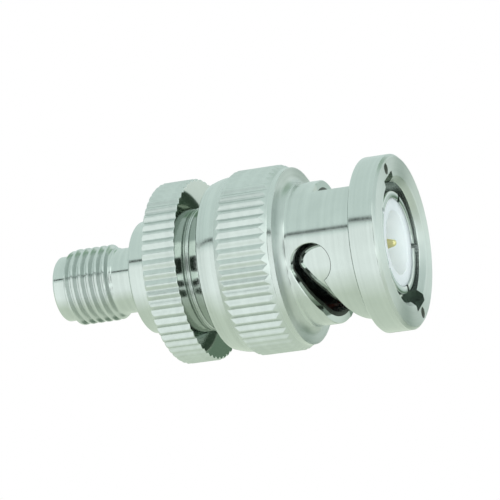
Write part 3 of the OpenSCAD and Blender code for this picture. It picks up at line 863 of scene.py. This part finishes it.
fit(jack, [turned_nickel, shade_painted_nickel, knurled_nickel, thread_nickel], "adapter", "nickel_plate", "sma_body")
reach, height = face_middles(jack)
# Painted shade: the grip disc's face towards the nut gets the darker nickel, for the shade in the gap.
front_face = (height < disc_z + MERGE) & (reach > collar_r + EDGE)
knurled = (reach > RING_R) & (height > disc_z + EDGE) & (height < shoulder_z - EDGE)
cut_thread = (height > thread_z) & (height < nose_z) & (reach > MATE_R + EDGE)
set_finishes(jack, front_face, knurled, cut_thread)

# Jack insulator and socket
# A plain tube of PTFE fills the jack down to the mating plane and holds a gilt socket, whose mouth is sawn
# into spring fingers.
SOCKET_BORE_R = 0.47
SOCKET_BORE_L = 3.0
SOCKET_CUT_W = 0.18
SOCKET_CUT_L = 2.4
SOCKET_CUTS = 2
SOCKET_HOLE_R = 0.645
TUBE_EDGE = EDGE / 2

tube_low, tube_high, tube_r = span("sma_insulator")
tube_outline = [
    (SOCKET_HOLE_R, tube_high - EDGE),
    (SOCKET_HOLE_R, tube_low),
    (tube_r, tube_low),
    (tube_r, tube_high),
    (SOCKET_HOLE_R, tube_high),
    (SOCKET_HOLE_R, tube_high - TUBE_EDGE)]
tube = turned("jack_insulator", eased(columns(tube_outline, round_turns.size), TUBE_EDGE), round_turns)
fit(tube, [ptfe], "adapter", "ptfe", "sma_insulator")

socket_low, socket_high, socket_r = span("socket_contact")
bore_floor = socket_high - SOCKET_BORE_L
foot_hole_r = PIN_SPIGOT_R + SEAT_GAP
foot_floor = pin_end + SEAT_GAP
socket_outline = [
    (0, foot_floor),
    (foot_hole_r, foot_floor),
    (foot_hole_r, socket_low),
    (socket_r, socket_low),
    (socket_r, socket_high),
    (SOCKET_BORE_R, socket_high),
    (SOCKET_BORE_R, bore_floor),
    (0, bore_floor)]
socket_path = eased(columns(socket_outline, pin_turns.size), PIN_EDGE)
socket = turned("gilt_socket", socket_path, pin_turns, loop=False)
cut_low = (-socket_r - PAST, -SOCKET_CUT_W / 2, socket_high - SOCKET_CUT_L)
cut_high = (socket_r + PAST, SOCKET_CUT_W / 2, socket_high + PAST)
carve(socket, [loft("cut_socket", box_rings(cut_low, cut_high, math.pi * i / SOCKET_CUTS))
               for i in range(SOCKET_CUTS)])
fit(socket, [gold], "adapter", "gold_plate", "socket_contact")

# Floor and light tent
# The adapter stands on the front face of its nut on a white floor inside a tent, which the metal mirrors.
# The cloth is brightest round the lens, with one dark seam above it and lit and shaded patches all round.
# What isn't a mirror gets even light and a soft box from in front and below.
FLOOR_R = 400
FLOOR_DROP = 0.02
FLOOR_COLUMNS = 96
FLOOR_WHITE = "#FAEEEC"
FLOOR_GLOW = 0.45
TENT_FRONT = "#F7FFFC"
TENT_TOP = "#D5E4DF"
TENT_LOW = "#CFDBCB"
TENT_BACK = "#C3D3CE"
# Shares of the way round the tent, from behind by way of below, the lens and above, with the cloth there.
TENT_CLOTH = [
    (0.02, TENT_LOW),
    (0.30, TENT_LOW),
    (0.42, TENT_FRONT),
    (0.57, TENT_FRONT),
    (0.60, TENT_TOP),
    (0.85, TENT_TOP)]
TENT_SEAM = "#232A24"
TENT_GLOW = 1.25
BACKDROP = "#FFFFFF"
BACKDROP_GLOW = 1.0
SOFT_LIGHT = "#EFFBFD"
SOFT_GLOW = 0.62
SOFTBOX = (0, -0.87, -0.5)
SOFTBOX_WIDE = math.radians(36)
SOFTBOX_SOFT = math.radians(8)
SOFTBOX_GLOW = 2.35
TENT_SEAM_TURN = math.radians(33.3)
TENT_SEAM_LEAN = math.radians(12)
TENT_SEAM_WIDTH = math.radians(5)
TENT_SEAM_DARK = 0.35
TENT_SEAM_FADED = 0.65
LIT = "#F6FFFB"
SHADED = "#D3FFDB"
# Patches of the tent: heading and lean of the middle, radius and soft edge in degrees, then level and tint.
TENT_PATCHES = [
    (138, -22, 15, 4, 0.38, SHADED),
    (-152, -26, 11, 4, 0.18, SHADED),
    (168, -22, 11, 1.5, 0.90, LIT),
    (-168, -22, 11, 1.5, 0.22, SHADED),
    (180, -44, 16, 5, 1.20, LIT),
    (-178, 20, 8, 2, 0.10, SHADED),
    (0, -50, 29, 4, 1.35, LIT),
    (44, -20, 14, 4, 1.50, LIT),
    (-8, -20, 5, 2, 1.60, LIT),
    (14, -20, 14, 2, 0.03, SHADED),
    (-19, -20, 6, 1.5, 0.03, SHADED),
    (-38, -20, 7, 2, 0.06, SHADED),
    (-24, -30, 6, 2, 0.03, SHADED),
    (0, 62, 20, 8, 0.92, LIT)]


def floor_cloth():
    """White floor that only the lens sees, from above, where it takes the object's soft shadow."""
    material = bpy.data.materials.new("white_floor")
    material.use_nodes = True
    tree = material.node_tree
    tree.nodes.clear()
    lens = add(tree, "ShaderNodeLightPath").outputs["Is Camera Ray"]
    under = add(tree, "ShaderNodeNewGeometry").outputs["Backfacing"]
    shown = add(tree, "ShaderNodeMath", (0, lens), (1, under), operation="SUBTRACT", use_clamp=True)
    cloth = add(tree, "ShaderNodeBsdfDiffuse", ("Color", linear(FLOOR_WHITE)))
    glow = add(tree, "ShaderNodeEmission", ("Strength", FLOOR_GLOW))
    lit = add(tree, "ShaderNodeAddShader", (0, cloth.outputs[0]), (1, glow.outputs[0]))
    clear = add(tree, "ShaderNodeBsdfTransparent")
    surface = add(tree, "ShaderNodeMixShader", (0, shown.outputs[0]), (1, clear.outputs[0]),
                  (2, lit.outputs[0]))
    add(tree, "ShaderNodeOutputMaterial", ("Surface", surface.outputs[0]))
    return material


floor_path = columns([(0, -FLOOR_DROP), (FLOOR_R, -FLOOR_DROP)], FLOOR_COLUMNS + 1)
floor = turned("floor", floor_path[::-1], even_turns(FLOOR_COLUMNS), loop=False)
floor.data.materials.append(floor_cloth())

world = bpy.data.worlds.new("light_tent")
bpy.context.scene.world = world
world.use_nodes = True
tent = world.node_tree
tent.nodes.clear()
toward = add(tent, "ShaderNodeTexCoord").outputs["Generated"]
along = add(tent, "ShaderNodeSeparateXYZ", (0, toward))
front = add(tent, "ShaderNodeMath", (0, along.outputs["Y"]), (1, -1.0), operation="MULTIPLY")
turn_up = add(tent, "ShaderNodeMath", (0, along.outputs["X"]), (1, front.outputs[0]), operation="ARCTAN2")
share = add(tent, "ShaderNodeMapRange", ("Value", turn_up.outputs[0]), ("From Min", -math.pi),
            ("From Max", math.pi))
shade = add(tent, "ShaderNodeValToRGB", (0, share.outputs[0]))
cloth_ramp = shade.color_ramp
cloth_ramp.elements[0].color = linear(TENT_BACK)
cloth_ramp.elements[1].color = linear(TENT_BACK)
for place, code in TENT_CLOTH:
    cloth_ramp.elements.new(place).color = linear(code)
seam_turn = add(tent, "ShaderNodeMath", (0, along.outputs["Z"]), (1, TENT_SEAM_LEAN), (2, TENT_SEAM_TURN),
                operation="MULTIPLY_ADD")
off_seam = add(tent, "ShaderNodeMath", (0, turn_up.outputs[0]), (1, seam_turn.outputs[0]),
               operation="SUBTRACT")
gap = add(tent, "ShaderNodeMath", (0, off_seam.outputs[0]), operation="ABSOLUTE")
seam = add(tent, "ShaderNodeMapRange", ("Value", gap.outputs[0]),
           ("From Min", TENT_SEAM_WIDTH * TENT_SEAM_DARK),
           ("From Max", TENT_SEAM_WIDTH * TENT_SEAM_FADED), ("To Min", 1.0), ("To Max", 0.0))
cloth = add(tent, "ShaderNodeMix", (MIX_SHARE, seam.outputs[0]), (MIX_FROM, shade.outputs[0]),
            (MIX_TO, linear(TENT_SEAM)), data_type="RGBA")
lit = cloth.outputs[MIXED]
for *angles, level, tint in TENT_PATCHES:
    heading, lean, wide, soft = np.radians(angles)
    middle = (math.cos(lean) * math.sin(heading), -math.cos(lean) * math.cos(heading), math.sin(lean))
    near = add(tent, "ShaderNodeVectorMath", (0, toward), (1, middle), operation="DOT_PRODUCT")
    patch = add(tent, "ShaderNodeMapRange", ("Value", near.outputs["Value"]),
                ("From Min", math.cos(wide + soft)), ("From Max", math.cos(wide - soft)),
                interpolation_type="SMOOTHSTEP")
    colour = [level * channel for channel in linear(tint)]
    lit = add(tent, "ShaderNodeMix", (MIX_SHARE, patch.outputs[0]), (MIX_FROM, lit), (MIX_TO, colour),
              data_type="RGBA").outputs[MIXED]
path = add(tent, "ShaderNodeLightPath")
mirrored = add(tent, "ShaderNodeMath", (0, path.outputs["Is Glossy Ray"]),
               (1, path.outputs["Is Transmission Ray"]), operation="MAXIMUM")
near = add(tent, "ShaderNodeVectorMath", (0, toward), (1, SOFTBOX), operation="DOT_PRODUCT")
strength = add(tent, "ShaderNodeMapRange", ("Value", near.outputs["Value"]),
               ("From Min", math.cos(SOFTBOX_WIDE + SOFTBOX_SOFT)),
               ("From Max", math.cos(SOFTBOX_WIDE - SOFTBOX_SOFT)),
               ("To Min", SOFT_GLOW), ("To Max", SOFTBOX_GLOW))
light = add(tent, "ShaderNodeBackground", ("Color", linear(SOFT_LIGHT)), ("Strength", strength.outputs[0]))
walls = add(tent, "ShaderNodeBackground", ("Color", lit), ("Strength", TENT_GLOW))
backdrop = add(tent, "ShaderNodeBackground", ("Color", linear(BACKDROP)), ("Strength", BACKDROP_GLOW))
around = add(tent, "ShaderNodeMixShader", (0, mirrored.outputs[0]), (1, light.outputs[0]),
             (2, walls.outputs[0]))
sky = add(tent, "ShaderNodeMixShader", (0, path.outputs["Is Camera Ray"]), (1, around.outputs[0]),
          (2, backdrop.outputs[0]))
add(tent, "ShaderNodeOutputWorld", ("Surface", sky.outputs[0]))

# Camera
# It looks up into the nut's mouth from below its front face, rolled so that the axis lies nearly level, with
# the threaded jack on the left.
SENSOR = 36
LENS = 229
DISTANCE = 260
NEAREST = 26
BOUNCES = 12
AIM_Z = 14.93
AIM_RIGHT = 1.472
AIM_UP = 1.297
VIEW_UNDER = math.radians(20.295)
VIEW_ROLL = math.radians(98.168)

back = Vector((0, -math.cos(VIEW_UNDER), -math.sin(VIEW_UNDER)))
level_right = Vector((1, 0, 0))
level_up = back.cross(level_right)
right = level_right * math.cos(VIEW_ROLL) - level_up * math.sin(VIEW_ROLL)
up = back.cross(right)
stand = Vector((0, 0, AIM_Z)) + back * DISTANCE + right * AIM_RIGHT + up * AIM_UP
lens = bpy.data.cameras.new("photo_camera")
lens.sensor_width = SENSOR
lens.lens = LENS
lens.clip_start = NEAREST * MM
camera = bpy.data.objects.new("photo_camera", lens)
camera.matrix_world = Matrix((right, up, back)).transposed().to_4x4()
camera.location = stand * MM
bpy.context.scene.collection.objects.link(camera)
bpy.context.scene.camera = camera
bpy.context.scene.view_settings.view_transform = "Standard"
bpy.context.scene.cycles.glossy_bounces = BOUNCES
bpy.context.scene.cycles.diffuse_bounces = BOUNCES
